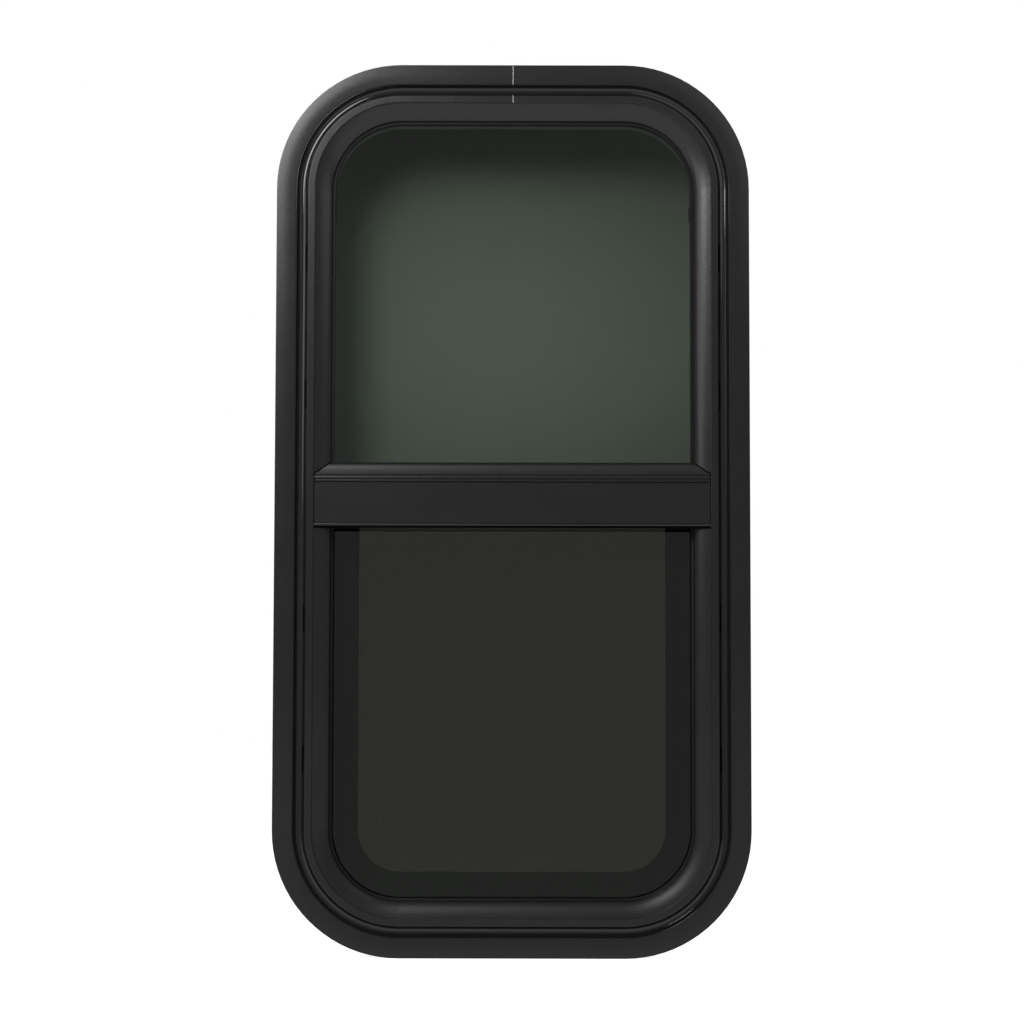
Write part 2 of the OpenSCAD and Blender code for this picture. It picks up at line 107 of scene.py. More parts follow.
class Field:
    """A socket in a node tree; operators on it add Math nodes."""

    def __init__(self, nodes, socket):
        self.nodes = nodes
        self.socket = socket

    def math(self, operation, *others):
        """This value and the others, in that order, through one Math node."""
        inputs = dict(enumerate((self, *others)))
        return self.nodes.node("ShaderNodeMath", {"operation": operation}, inputs)

    def __add__(self, other):
        return self.math("ADD", other)

    __radd__ = __add__

    def __sub__(self, other):
        return self.math("SUBTRACT", other)

    def __rsub__(self, other):
        inputs = {0: other, 1: self}
        return self.nodes.node("ShaderNodeMath", {"operation": "SUBTRACT"}, inputs)

    def __mul__(self, other):
        return self.math("MULTIPLY", other)

    __rmul__ = __mul__

    def __truediv__(self, other):
        return self.math("DIVIDE", other)

    def part(self, name):
        """Another output of the same node, such as one axis of a vector."""
        return Field(self.nodes, self.socket.node.outputs[name])

    def between(self, low, high):
        """Rises smoothly from 0 at low to 1 at high."""
        return self.nodes.mapped(self, low, high, 0.0, 1.0)

    def within(self, outer_low, low, high, outer_high):
        """1 from low to high, and falls smoothly to 0 at the outer values."""
        return self.between(outer_low, low) * (1 - self.between(high, outer_high))


def opaque(color):
    """A colour with the alpha that a socket needs; a field stays as it is."""
    return color if isinstance(color, Field) else (*color, 1)


class Nodes:
    """The node tree of a material or a world, emptied."""

    def __init__(self, owner):
        owner.use_nodes = True
        self.tree = owner.node_tree
        self.tree.nodes.clear()

    def node(self, kind, settings, sockets):
        """A node of that kind: its settings first, then the value or link of each socket.

        It gives the node's first output, or none where the node has no output.
        """
        node = self.tree.nodes.new(kind)
        for name, value in settings.items():
            setattr(node, name, value)
        for name, value in sockets.items():
            socket = node.inputs[name]
            value = value.socket if isinstance(value, Field) else value
            if isinstance(value, bpy.types.NodeSocket):
                self.tree.links.new(value, socket)
            else:
                socket.default_value = value
        first = next((output for output in node.outputs if output.enabled), None)
        return Field(self, first)

    def mapped(self, value, low, high, at_low, at_high):
        """Goes smoothly from one value to the other as the input goes from low to high."""
        sockets = {"Value": value, "From Min": low, "From Max": high, "To Min": at_low, "To Max": at_high}
        return self.node("ShaderNodeMapRange", {"interpolation_type": "SMOOTHSTEP"}, sockets)

    def place(self, space="Object"):
        """The point on the part in metres, or as Generated in a world, the way that a ray goes."""
        return self.node("ShaderNodeTexCoord", {}, {}).part(space)

    def axes(self, space="Object"):
        """The three coordinates of that point or way."""
        split = self.node("ShaderNodeSeparateXYZ", {}, {0: self.place(space)})
        return split.part("X"), split.part("Y"), split.part("Z")


# This script's short names for the sockets of the Principled shader
SHADER_SOCKETS = {
    "color": "Base Color",
    "rough": "Roughness",
    "metal": "Metallic",
    "ior": "IOR",
    "specular": "Specular IOR Level",
    "transmission": "Transmission Weight",
    "sheen": "Sheen Weight",
    "sheen_rough": "Sheen Roughness",
    "normal": "Normal",
}


class Finish(Nodes):
    """One material, with a Principled shader that its own expressions feed."""

    def __init__(self, name, color, **constants):
        self.material = bpy.data.materials.new(name)
        super().__init__(self.material)
        values = {SHADER_SOCKETS[key]: value for key, value in constants.items()}
        values["Base Color"] = opaque(color)
        self.shader = self.node("ShaderNodeBsdfPrincipled", {}, values).socket.node
        self.output = self.tree.nodes.new("ShaderNodeOutputMaterial")
        self.show(self.shader.outputs[0])

    def show(self, surface):
        """Makes that shader the one that the material shows."""
        self.tree.links.new(surface, self.output.inputs["Surface"])

    def feed(self, **fields):
        """Links fields to the Principled shader's sockets."""
        for key, field in fields.items():
            self.tree.links.new(field.socket, self.shader.inputs[SHADER_SOCKETS[key]])

    def paint_shade(self, share):
        """Mixes in a matt black surface as the share goes from 0 to 1, which paints shade."""
        black = self.node("ShaderNodeBsdfDiffuse", {}, {"Color": opaque((0.001, 0.001, 0.001))})
        mixed = self.node("ShaderNodeMixShader", {}, {0: share, 1: self.shader.outputs[0], 2: black})
        self.show(mixed.socket)

    def noise(self, size, detail=2.0, stretch=(1, 1, 1)):
        """Cloudy noise from 0 to 1 whose lumps are about that size, longer where it is stretched."""
        scale = [1 / (size * longer) for longer in stretch]
        scaled = self.node("ShaderNodeVectorMath", {"operation": "MULTIPLY"}, {0: self.place(), 1: scale})
        sockets = {"Vector": scaled, "Scale": 1.0, "Detail": detail, "Roughness": 0.55}
        return self.node("ShaderNodeTexNoise", {}, sockets)

    def blend(self, factor, first, second):
        """From the first colour to the second as the factor goes from 0 to 1."""
        # A Mix node takes its colours at inputs 6 and 7 and gives the result at output 2.
        sockets = {0: factor, 6: opaque(first), 7: opaque(second)}
        mix = self.node("ShaderNodeMix", {"data_type": "RGBA"}, sockets).socket.node
        return Field(self, mix.outputs[2])

    def bump(self, height, depth, strength=1.0):
        """Bumps that rise by the height times the depth, in metres."""
        sockets = {"Height": height, "Distance": depth, "Strength": strength}
        self.feed(normal=self.node("ShaderNodeBump", {}, sockets))


# Materials

def inwards(finish):
    """Distance in metres inwards from the frame's outline, seen square on.

    With a and b how far the point lies beyond the corners' centres, across and along, it is
    the corner radius less (max(a, 0)^2 + max(b, 0)^2)^0.5, and less min(max(a, b), 0).
    """
    x, _, z = finish.axes()
    across = x.math("ABSOLUTE") - straight_x
    along = (z - window_middle.z).math("ABSOLUTE") - straight_z
    out_x = across.math("MAXIMUM", 0.0)
    out_z = along.math("MAXIMUM", 0.0)
    beyond = (out_x * out_x + out_z * out_z).math("SQRT")
    inside = across.math("MAXIMUM", along).math("MINIMUM", 0.0)
    return corner_radius - (beyond + inside)


def less_steep(finish, distance, radius, most, raised):
    """A height that makes a quarter round look less steep, and how far across it the point is.

    With t from 0 to at most 1 across the round, it is raised (1 - (1 - t^2)^0.5). The last
    value is 1 on the window's front and 0 behind the wall's skin.
    """
    _, y, _ = finish.axes()
    t = (distance / radius).math("MAXIMUM", 0.0).math("MINIMUM", most)
    return (1 - (1 - t * t).math("SQRT")) * raised, t, 1 - y.between(6 * MM, 9 * MM)


def powder_coat(name, tone, rough):
    """Black powder coat: a fine orange peel, faint dust in it and slightly glossier swells.

    Its paint, roughness and relief can still be changed before painted() feeds them.
    """
    finish = Finish(name, (tone, tone, tone * 1.04))
    peel = finish.noise(0.9 * MM, 2)
    grain = finish.noise(0.22 * MM, 1)
    cloud = finish.noise(40 * MM, 3)
    darker = (tone * 0.86, tone * 0.86, tone * 0.86)
    paler = (tone * 1.1, tone * 1.1, tone * 1.15)
    finish.paint = finish.blend(cloud * 0.7 + grain * 0.3, darker, paler)
    finish.rough = (cloud - 0.5) * 0.08 + (peel - 0.5) * 0.05 + rough
    finish.relief = (peel * 0.7 + grain * 0.3) * (0.005 * MM)
    return finish


def painted(finish):
    """The material of a powder coat, whose relief is in metres."""
    finish.feed(color=finish.paint, rough=finish.rough)
    finish.bump(finish.relief, 1.0)
    return finish.material


def frame_paint():
    """The coat on the outer frame: polished in the groove, duller near the foot, and paler on the groove's
    floor, which paints light into its shade.

    On the ledge the relief also falls by 2.2 mm t across the round, so that the slope
    that shows goes from 8 to 48 degrees.
    """
    finish = powder_coat("frame_paint", 0.0045, rough=0.27)
    depth = inwards(finish)
    _, _, z = finish.axes()
    painted_light_groove_floor = depth.within(18.2 * MM, 18.8 * MM, 28.4 * MM, 28.9 * MM)
    groove = depth.within(17.2 * MM, 17.7 * MM, 29.3 * MM, 29.8 * MM)
    less_in_groove = 1 - groove * 0.8
    near_foot = 1 - z.between(70 * MM, 250 * MM)
    # Painted light: the groove's floor is paler than the coat, which lifts the shade in it.
    finish.paint = finish.blend(painted_light_groove_floor, finish.paint, (0.009, 0.009, 0.0093))
    finish.rough = (finish.rough + near_foot * 0.12) * less_in_groove
    raised, t, front = less_steep(finish, depth - ledge_start, ledge_radius, 0.955, 8.3 * MM)
    finish.relief = finish.relief * less_in_groove + (raised - t * (2.2 * MM)) * front
    return painted(finish)


def rail_paint():
    """The coat on the meeting rail, duller on its rounded top, with two rounded ribs below it.

    The ribs are the wave 0.07 mm cos(2 pi (z - 26 mm) / 2.7 mm), with z above the window's
    middle, and three lines beside them are painted dark as shade.
    """
    finish = powder_coat("rail_paint", 0.0045, rough=0.28)
    _, y, z = finish.axes()
    up = z - window_middle.z
    face = 1 - y.between(-6 * MM, -4 * MM)
    ribs = up.within(21 * MM, 22 * MM, 28 * MM, 29 * MM) * face
    wave = ((up - 26 * MM) * (2 * math.pi / (2.7 * MM))).math("COSINE")
    raised, _, front = less_steep(finish, up - rail_round_start, rail_round_radius, 0.99, 10.9 * MM)
    finish.relief = finish.relief + raised * front + wave * ribs * (0.07 * MM)
    finish.rough = finish.rough + up.between(28 * MM, 31 * MM) * 0.09
    # Painted shade: three dark lines among the ribs, mixed in as matt black.
    painted_shade_lines = 0.0
    for height, strength in ((28.5 * MM, 0.5), (25.4 * MM, 0.5), (22.2 * MM, 0.8)):
        off = (up - height).math("ABSOLUTE")
        painted_shade_lines = (1 - off.between(0.2 * MM, 0.9 * MM)) * strength + painted_shade_lines
    finish.paint_shade(painted_shade_lines * face)
    return painted(finish)


def body_tinted_glass(name):
    """Safety glass: clear and polished, with a faintly uneven grey green tint."""
    finish = Finish(name, (0.073, 0.094, 0.070), rough=0.0, ior=1.45, transmission=1.0)
    faint = finish.noise(60 * MM, 2)
    finish.feed(color=finish.blend(faint, (0.070, 0.0905, 0.067), (0.076, 0.0975, 0.073)))
    return finish.material


def dead_black_shade(name):
    """Dead matt black with a slight unevenness, for beads and strips that paint shade."""
    finish = Finish(name, (0.002, 0.002, 0.002), specular=0.0)
    finish.feed(rough=finish.noise(2 * MM, 2) * 0.1 + 0.85)
    return finish.material


def extruded_rubber(name):
    """Matt black rubber with a fine skin and a pale bloom."""
    tone = 0.004
    finish = Finish(name, (tone, tone, tone), specular=0.2)
    bloom = finish.noise(12 * MM, 4)
    skin = finish.noise(0.3 * MM, 2)
    pale = (tone * 1.6, tone * 1.6, tone * 1.55)
    finish.feed(color=finish.blend(bloom * 0.6, (tone, tone, tone), pale), rough=0.5 + (bloom - 0.5) * 0.16)
    finish.bump(skin, 0.03 * MM, 0.6)
    return finish.material


def flock(name):
    """Short flocking: soft, with a sheen at grazing angles."""
    finish = Finish(name, (0.015, 0.015, 0.016), rough=0.9, sheen=0.5, sheen_rough=0.4)
    fibre = finish.noise(0.18 * MM, 3)
    finish.feed(color=finish.blend(fibre, (0.008, 0.008, 0.009), (0.03, 0.03, 0.032)))
    finish.bump(fibre, 0.15 * MM, 0.8)
    return finish.material


def moulded_nylon(name):
    """Satin moulded nylon with the fine spark texture of its mould."""
    finish = Finish(name, (0.016, 0.016, 0.016))
    spark = finish.noise(0.12 * MM, 2)
    flow = finish.noise(18 * MM, 2)
    colors = (0.013, 0.013, 0.013), (0.022, 0.022, 0.022)
    finish.feed(color=finish.blend(flow, *colors), rough=0.42 + (flow - 0.5) * 0.12)
    finish.bump(spark, 0.02 * MM, 0.6)
    return finish.material


def bare_aluminium(name):
    """Mill finish: brushed along X by the rolls, with a dull oxide."""
    finish = Finish(name, (0.6, 0.61, 0.62), metal=1.0)
    drawn = finish.noise(0.12 * MM, 3, stretch=(60, 1, 1))
    oxide = finish.noise(6 * MM, 4)
    colors = (0.5, 0.51, 0.52), (0.68, 0.69, 0.7)
    finish.feed(color=finish.blend(oxide, *colors), rough=0.3 + drawn * 0.2)
    finish.bump(drawn, 0.01 * MM, 0.6)
    return finish.material


def coated_yarn(name):
    """Coated glass-fibre yarn: a dark, slightly shiny coat over lumpy yarn."""
    finish = Finish(name, (0.02, 0.02, 0.02))
    lumps = finish.noise(0.35 * MM, 2)
    colors = (0.014, 0.014, 0.014), (0.03, 0.03, 0.03)
    finish.feed(color=finish.blend(lumps, *colors), rough=0.45 + lumps * 0.2)
    finish.bump(lumps, 0.05 * MM, 0.5)
    return finish.material


def black_oxide(name):
    """Blackened steel: dark, semi-metallic, with a thin oil sheen."""
    finish = Finish(name, (0.03, 0.03, 0.032), metal=0.6)
    patch = finish.noise(1.5 * MM, 3)
    colors = (0.02, 0.02, 0.022), (0.05, 0.048, 0.047)
    finish.feed(color=finish.blend(patch, *colors), rough=0.32 + patch * 0.18)
    finish.bump(patch, 0.01 * MM, 0.5)
    return finish.material


FINISHES = {
    "frame_paint": frame_paint(),
    "rail_paint": rail_paint(),
    "ring_paint": painted(powder_coat("ring_paint", 0.008, rough=0.36)),
    "sash_paint": painted(powder_coat("sash_paint", 0.0045, rough=0.3)),
    "screen_paint": painted(powder_coat("screen_paint", 0.007, rough=0.4)),
    "bare_metal": bare_aluminium("bare_metal"),
    "tinted_glass": body_tinted_glass("tinted_glass"),
    "rubber": extruded_rubber("rubber"),
    "shade_black": dead_black_shade("shade_black"),
    "pile": flock("pile"),
    "run_lining": flock("run_lining"),
    "latch_plastic": moulded_nylon("latch_plastic"),
    "mesh": coated_yarn("mesh"),
    "black_screw": black_oxide("black_screw"),
}


def finish_solids():
    """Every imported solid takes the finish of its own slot, and the rail has one of its own."""
    for subpart in frame["record"]["subparts"]:
        node = subpart["node"]
        finish = FINISHES["rail_paint" if node == "meeting_rail" else subpart["material_slot"]]
        for slot in frame["nodes"][node].material_slots:
            slot.link = "OBJECT"
            slot.material = finish


# Pieces

def merge_doubles(mesh):
    """Joins points closer than half a thousandth of a millimetre, which closes seams and poles."""
    joined = bmesh.new()
    joined.from_mesh(mesh)
    bmesh.ops.remove_doubles(joined, verts=joined.verts, dist=0.0005 * MM)
    joined.to_mesh(mesh)
    joined.free()


def add_piece(name, verts, faces, slot, smooth=True, finish=None):
    """A mesh from whole arrays: verts is n by 3 and faces is m by 4."""
    mesh = bpy.data.meshes.new(name)
    verts = np.asarray(verts, dtype=np.float32)
    faces = np.asarray(faces, dtype=np.int32)
    mesh.vertices.add(len(verts))
    mesh.vertices.foreach_set("co", verts.ravel())
    mesh.loops.add(faces.size)
    mesh.loops.foreach_set("vertex_index", faces.ravel())
    mesh.polygons.add(len(faces))
    mesh.polygons.foreach_set("loop_start", np.arange(len(faces), dtype=np.int32) * 4)
    mesh.polygons.foreach_set("use_smooth", np.full(len(faces), smooth))
    mesh.update(calc_edges=True)
    merge_doubles(mesh)
    mesh.materials.append(FINISHES[finish or slot])
    piece = bpy.data.objects.new(name, mesh)
    bpy.context.scene.collection.objects.link(piece)
    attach(piece, "root")
    return piece


def outward(verts, faces):
    """Turns the quads over if the closed surface would hold a negative volume.

    Six times that volume is the sum of a . (b x c + c x d) over quads with corners a to d.
    """
    a, b, c, d = (verts[faces[:, corner]] for corner in range(4))
    volume = np.einsum("ij,ij->", a, np.cross(b, c) + np.cross(c, d))
    return faces if volume > 0 else faces[:, ::-1]


def grid_faces(rows, columns, close_rows=False, close_columns=True):
    """Quads of a grid of points, counted row by row, closed round either way."""
    row_steps = rows if close_rows else rows - 1
    column_steps = columns if close_columns else columns - 1
    i, j = np.meshgrid(np.arange(row_steps), np.arange(column_steps), indexing="ij")
    i_next, j_next = (i + 1) % rows, (j + 1) % columns
    corners = (i * columns + j, i * columns + j_next, i_next * columns + j_next, i_next * columns + j)
    return np.stack(corners, axis=-1).reshape(-1, 4)


def closed_bar(rows):
    """Points and quads of a bar, from rows of points round its section, one after another.

    Each end is closed by one more row, which is drawn together to the end's middle.
    """
    start, end = (np.broadcast_to(row.mean(axis=0), row.shape)[None] for row in (rows[0], rows[-1]))
    rows = np.concatenate([start, rows, end])
    verts = rows.reshape(-1, 3)
    return verts, outward(verts, grid_faces(*rows.shape[:2]))


def fly_mesh():
    """Two layers of straight yarns at right angles; each yarn is a square prism on its edge.

    Yarns lie one pitch apart, centred on the sheet, and end on its outline, a rectangle
    whose two lower corners are round: at a distance d from a straight edge, a corner of
    radius r cuts in by r - (r^2 - (r - d)^2)^0.5.
    """
    low, high = (np.array(corner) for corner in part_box("screen_mesh"))
    pitch, yarn = 1.3 * MM, 0.35 * MM
    half = yarn / 2
    lift = yarn * 0.45
    radius = corner_radius - (half_width - high[0])
    middle_y = (low[1] + high[1]) / 2

    def crossings(start, end):
        count = int((end - start) / pitch)
        return start + ((end - start) - (count - 1) * pitch) / 2 + np.arange(count) * pitch

    def corner_cut(distance):
        gap = np.clip(radius - distance, 0, radius)
        return radius - np.sqrt(np.clip(radius ** 2 - gap ** 2, 0, None))

    xs = crossings(low[0] + yarn, high[0] - yarn)
    zs = crossings(low[2] + yarn, high[2] - yarn)
    upright_low = low[2] + corner_cut(high[0] - np.abs(xs))
    level_in = corner_cut(zs - low[2])
    front, back = np.full_like(xs, middle_y - lift), np.full_like(zs, middle_y + lift)
    upright = (np.stack([xs, front, upright_low], axis=1),
               np.stack([xs, front, np.full_like(xs, high[2])], axis=1))
    level = (np.stack([low[0] + level_in, back, zs], axis=1),
             np.stack([high[0] - level_in, back, zs], axis=1))
    verts, faces = [], []
    prism = np.array([[0, 1, 5, 4], [1, 2, 6, 5], [2, 3, 7, 6], [3, 0, 4, 7], [3, 2, 1, 0], [4, 5, 6, 7]])
    for (starts, ends), side in ((upright, (half, 0, 0)), (level, (0, 0, half))):
        side, out = np.array(side), np.array((0, half, 0))
        ring = np.stack([side, out, -side, -out])
        points = np.concatenate([starts[:, None, :] + ring, ends[:, None, :] + ring], axis=1)
        first = sum(len(part) for part in verts) + np.arange(len(starts))[:, None, None] * 8
        faces.append((first + outward(points[0], prism)).reshape(-1, 4))
        verts.append(points.reshape(-1, 3))
    piece = add_piece("fly_mesh", np.concatenate(verts), np.concatenate(faces), "mesh", smooth=False)
    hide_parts("screen_mesh")


def lower_corners(inset):
    """Both lower corners of the window at each inset, from the right side round to the left.

    They are quarter circles about the same centres as the frame's.
    """
    turn = np.linspace(0, math.pi / 2, 24)[:, None]
    reach = corner_radius - inset
    x, z = straight_x + reach * np.cos(turn), foot_z - reach * np.sin(turn)
    return np.concatenate([x, -x[::-1]]), np.concatenate([z, z[::-1]])


def ribbed_cord():
    """The rubber cord that holds the mesh, with ribs along it.

    Its section is an ellipse whose radius swells by 5% in twelve waves. Each point of the
    section runs round the screen's groove at its own inset, so the upper corners are
    mitred. A row of points lies a millimetre to each side of them.
    """
    low, high = (np.array(corner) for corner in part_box("screen_spline"))
    half, near = 1.75 * MM, 1 * MM
    angle = np.linspace(0, 2 * math.pi, 60, endpoint=False)
    swell = 0.95 + 0.05 * np.cos(12 * angle)
    outer = half_width - high[0]
    inset = outer + half + half * swell * np.cos(angle)
    side, top = (half_width - inset)[None, :], (high[2] - (inset - outer))[None, :]
    x, z = lower_corners(inset)
    x = np.concatenate([side - near, side, side, x, -side, -side, near - side])
    z = np.concatenate([top, top, top - near, z, top - near, top, top])
    y = (low[1] + high[1]) / 2 + (high[1] - low[1]) / 2 * swell * np.sin(angle)
    verts = np.stack([x, np.broadcast_to(y, x.shape), z], axis=-1).reshape(-1, 3)
    faces = outward(verts, grid_faces(*x.shape, close_rows=True))
    piece = add_piece("ribbed_cord", verts, faces, "rubber")
    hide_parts("screen_spline")


def screw_thread(shank, tip, width):
    """A tapping screw's thread along Z from z = 0, its tip tapered to a point.

    Rows of points follow the helix z = (row / 4 + turn) pitch, held between the head and
    the point, and every fourth row is a crest. Row -5 closes the shank under the head.
    """
    pitch, root = 1.4 * MM, 0.76
    columns = 24
    turn = np.linspace(0, 1, columns + 1)[None, :]
    row = np.arange(-5, int(4 * (shank + tip) / pitch) + 2)[:, None]
    z = np.clip((row / 4 + turn) * pitch, 0, shank + tip)
    crest = np.where((row % 4 == 2) & (z > 0), 1.0, root) * (row > -5)
    taper = np.clip((shank + tip - z) / tip, 0, 1)
    radius = width / 2 * crest * taper
    angle = 2 * math.pi * turn
    verts = np.stack([radius * np.cos(angle), radius * np.sin(angle), z], axis=-1).reshape(-1, 3)
    return verts, grid_faces(row.size, columns + 1, close_columns=False)


def screw_head(width, height):
    """A round head below z = 0 with a crossed recess.

    Its dome is z = -h (1 - 0.35 (r / R)^4), into which the recess sinks two bars, and its
    rim turns under to the seat.
    """
    radius = width / 2
    dome = np.concatenate([np.linspace(0.01, 0.6, 16), np.linspace(0.66, 0.94, 5)])
    spread = np.concatenate([dome, [0.98, 1.0, 1.0, 0.97, 0.4]])
    rise = np.concatenate([1 - 0.35 * dome ** 4, [0.62, 0.5, 0.1, 0.0, 0.0]])
    angle = np.linspace(0, 2 * math.pi, 64, endpoint=False)[None, :]
    x = radius * spread[:, None] * np.cos(angle)
    y = radius * spread[:, None] * np.sin(angle)
    arm, reach, slope = 0.11 * radius, 0.5 * radius, 0.12 * radius
    level = np.maximum(np.abs(x) - arm, np.abs(y) - reach)
    upright = np.maximum(np.abs(y) - arm, np.abs(x) - reach)
    sunk = np.clip(0.5 - np.minimum(level, upright) / slope, 0, 1)
    sunk[dome.size:] = 0
    z = -height * (rise[:, None] - 0.55 * sunk)
    return closed_bar(np.stack([x, y, z], axis=-1))


def place_screws(name, thread, head, spots, node):
    """Copies of one screw; each spot gives the seat of its head and the way it points."""
    points = np.concatenate([thread[0], head[0]])
    faces = np.concatenate([thread[1], head[1] + len(thread[0])])
    verts = []
    for seat, way in spots:
        turn = np.array(Vector(way).to_track_quat("Z", "X").to_matrix())
        verts.append(points @ turn.T + np.array(seat))
    shift = np.arange(len(spots))[:, None, None] * len(points)
    piece = add_piece(name, np.concatenate(verts), (faces[None] + shift).reshape(-1, 4), "black_screw")
    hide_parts(node)


def clamp_screws():
    """Sixteen screws: four up each side, two across the top and the foot, one at each corner."""
    low, high = (Vector(corner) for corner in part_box("clamp_screws"))
    head_width, head_height, tip = 8 * MM, 2.4 * MM, 4 * MM
    near, far = 76.2 * MM, 228.6 * MM
    side_x, end_z = high.x - head_width / 2, (high.z - low.z - head_width) / 2
    corner = (corner_radius - (half_width - side_x)) * math.cos(math.pi / 4)
    spots = [(x, z) for x in (-side_x, side_x) for z in (-far, -near, near, far)]
    spots += [(x, z) for x in (-near, near) for z in (-end_z, end_z)]
    spots += [(x * (straight_x + corner), z * (straight_z + corner)) for x in (-1, 1) for z in (-1, 1)]
    seat_y = high.y - head_height
    places = [((x, seat_y, window_middle.z + z), (0, -1, 0)) for x, z in spots]
    place_screws("threaded_clamp_screws", screw_thread(seat_y - low.y - tip, tip, 3.9 * MM),
                 screw_head(head_width, head_height), places, "clamp_screws")


def rail_screws():
    """Two screws through the frame's sleeve into the ends of the meeting rail."""
    low, high = (Vector(corner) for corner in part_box("rail_screws"))
    head_height = 2.2 * MM
    middle = (low + high) / 2
    places = [((side * (high.x - head_height), middle.y, middle.z), (-side, 0, 0)) for side in (-1, 1)]
    place_screws("threaded_rail_screws", screw_thread(30 * MM, 2 * MM, 3.5 * MM),
                 screw_head(high.z - low.z, head_height), places, "rail_screws")


def seam_edges():
    """The bare cut ends of the frame's section, which show as a fine bright line at the top.

    With u the distance in from the frame's outline in mm, the line follows the band's
    crown, out = 6.4 - 0.5 (1 - 2u / 18.4)^2, and the flat rim, out = 10. At a distance d
    from an edge of radius r, both fall by r - (r^2 - (r - d)^2)^0.5.
    """
    def rounded(distance, radius):
        into = np.clip(radius - distance, 0, radius)
        return radius - np.sqrt(radius ** 2 - into ** 2)

    rim_start, rim_end = 28.8, 36
    band = np.linspace(0.05, 18.1, 60)
    band_out = 6.4 - 0.5 * (1 - 2 * band / 18.4) ** 2 - rounded(band, 1.2)
    rim = np.linspace(rim_start + 0.05, rim_end - 0.05, 30)
    rim_out = 10 - rounded(np.minimum(rim - rim_start, rim_end - rim), 0.8)
    across = np.array((-0.26, -0.2, 0, 0.2, 0.26))
    proud = np.array((-0.25, 0.02, 0.04, 0.02, -0.25))
    for name, u, out in (("band_seam", band, band_out), ("rim_seam", rim, rim_out)):
        x = np.broadcast_to(across, (u.size, across.size))
        y = -(out[:, None] + proud)
        z = np.broadcast_to(frame_high.z / MM - u[:, None], x.shape)
        verts, faces = closed_bar(np.stack([x, y, z], axis=-1) * MM)
        add_piece(name, verts, faces, "bare_metal")


def gap_shade_strip():
    """A soft black strip from the ledge's inner edge over the gap in front of the sash, which paints the
    shade in that gap.

    It runs from under the rail down one side, round the two lower corners of the frame
    and up the other side.
    """
    inset = np.array((50.6, 52.9, 52.9, 50.6)) * MM
    y = np.array((8.0, 8.7, 9.3, 9.3)) * MM
    side = (half_width - inset)[None, :]
    top = np.full_like(side, window_middle.z - 17.6 * MM)
    x, z = lower_corners(inset)
    x, z = np.concatenate([side, x, -side]), np.concatenate([top, z, top])
    verts, faces = closed_bar(np.stack([x, np.broadcast_to(y, x.shape), z], axis=-1))
    add_piece("gap_shade_strip", verts, faces, "rubber", smooth=False)


def bead(name, points, radius):
    """A round bead of dead black along some points, narrow at both ends, which paints shade."""
    ahead = np.gradient(points, axis=0)
    ahead /= np.linalg.norm(ahead, axis=1)[:, None]
    side = np.cross(ahead, np.array((0.3, 1.0, 0.2)))
    side /= np.linalg.norm(side, axis=1)[:, None]
    up = np.cross(ahead, side)
    angle = np.linspace(0, 2 * math.pi, 10, endpoint=False)[:, None]
    around = side[:, None] * np.cos(angle) + up[:, None] * np.sin(angle)
    size = np.full(len(points), radius)
    size[[0, -1]] = radius * 0.05
    verts, faces = closed_bar(points[:, None] + around * size[:, None, None])
    add_piece(name, verts, faces, "rubber", finish="shade_black")


def rail_joint_shade():
    """A thin black bead in the joint where each end of the rail is cut to the frame's ledge, which paints
    the shade in that joint.

    Along the rounded top it follows both rounds: at a height out above the wall's skin, in
    mm, the rail is at z = 26.2 + (14^2 - (out + 5)^2)^0.5 above the middle, and the ledge
    is at u = 35 + (16^2 - (out + 7.6)^2)^0.5 in from the frame's outline.
    """
    rail_axis_in, ledge_axis_in = 5 * MM, 7.6 * MM
    out = np.linspace(8.3, -1.5, 30) * MM
    high = rail_round_start + np.sqrt(rail_round_radius ** 2 - (out + rail_axis_in) ** 2)
    low = np.linspace(-17 * MM, high[0] - 0.4 * MM, 40)
    round_in = ledge_start + np.sqrt(ledge_radius ** 2 - (out + ledge_axis_in) ** 2)
    inset = np.concatenate([np.full(low.size, 36.1 * MM), round_in])
    height = np.concatenate([np.full(low.size, 8.55 * MM), out + 0.2 * MM])
    z = window_middle.z + np.concatenate([low, high])
    for name, side in (("left_joint_shade", -1), ("right_joint_shade", 1)):
        bead(name, np.stack([side * (half_width - inset), -height, z], axis=-1), 0.6 * MM)


def rail_lip_shade():
    """The lip that hangs from the rail's lower edge, over the ledges; its dead black also paints the shade
    line under the rail.
    """
    half = half_width - 36.3 * MM
    out = np.array((8.5, 9.0, 9.0, 8.85, 8.6, 8.5)) * MM
    up = np.array((-17.5, -17.5, -19.4, -19.7, -19.7, -19.5)) * MM
    x = np.repeat(np.array(((-half,), (half,))), out.size, axis=1)
    y, z = np.broadcast_to(-out, x.shape), np.broadcast_to(window_middle.z + up, x.shape)
    verts, faces = closed_bar(np.stack([x, y, z], axis=-1))
    add_piece("rail_lip_shade", verts, faces, "rubber", smooth=False, finish="shade_black")


place_camera()
finish_solids()
fly_mesh()
ribbed_cord()
clamp_screws()
rail_screws()
seam_edges()
rail_joint_shade()
rail_lip_shade()
gap_shade_strip()


# Stage and light

def seen_rays(nodes):
    """1 for what the camera sees, straight or through glass."""
    path = nodes.node("ShaderNodeLightPath", {}, {})
    return path.part("Is Camera Ray").math("MAXIMUM", path.part("Is Transmission Ray"))


def floor_paper(nodes):
    """Pale matt paper with a glow of its own for the camera, which makes it white."""
    matt = nodes.node("ShaderNodeBsdfDiffuse", {}, {"Color": opaque((0.9, 0.9, 0.9))})
    glow = nodes.node("ShaderNodeEmission", {}, {"Strength": seen_rays(nodes) * 0.91})
    return nodes.node("ShaderNodeAddShader", {}, {0: matt, 1: glow})


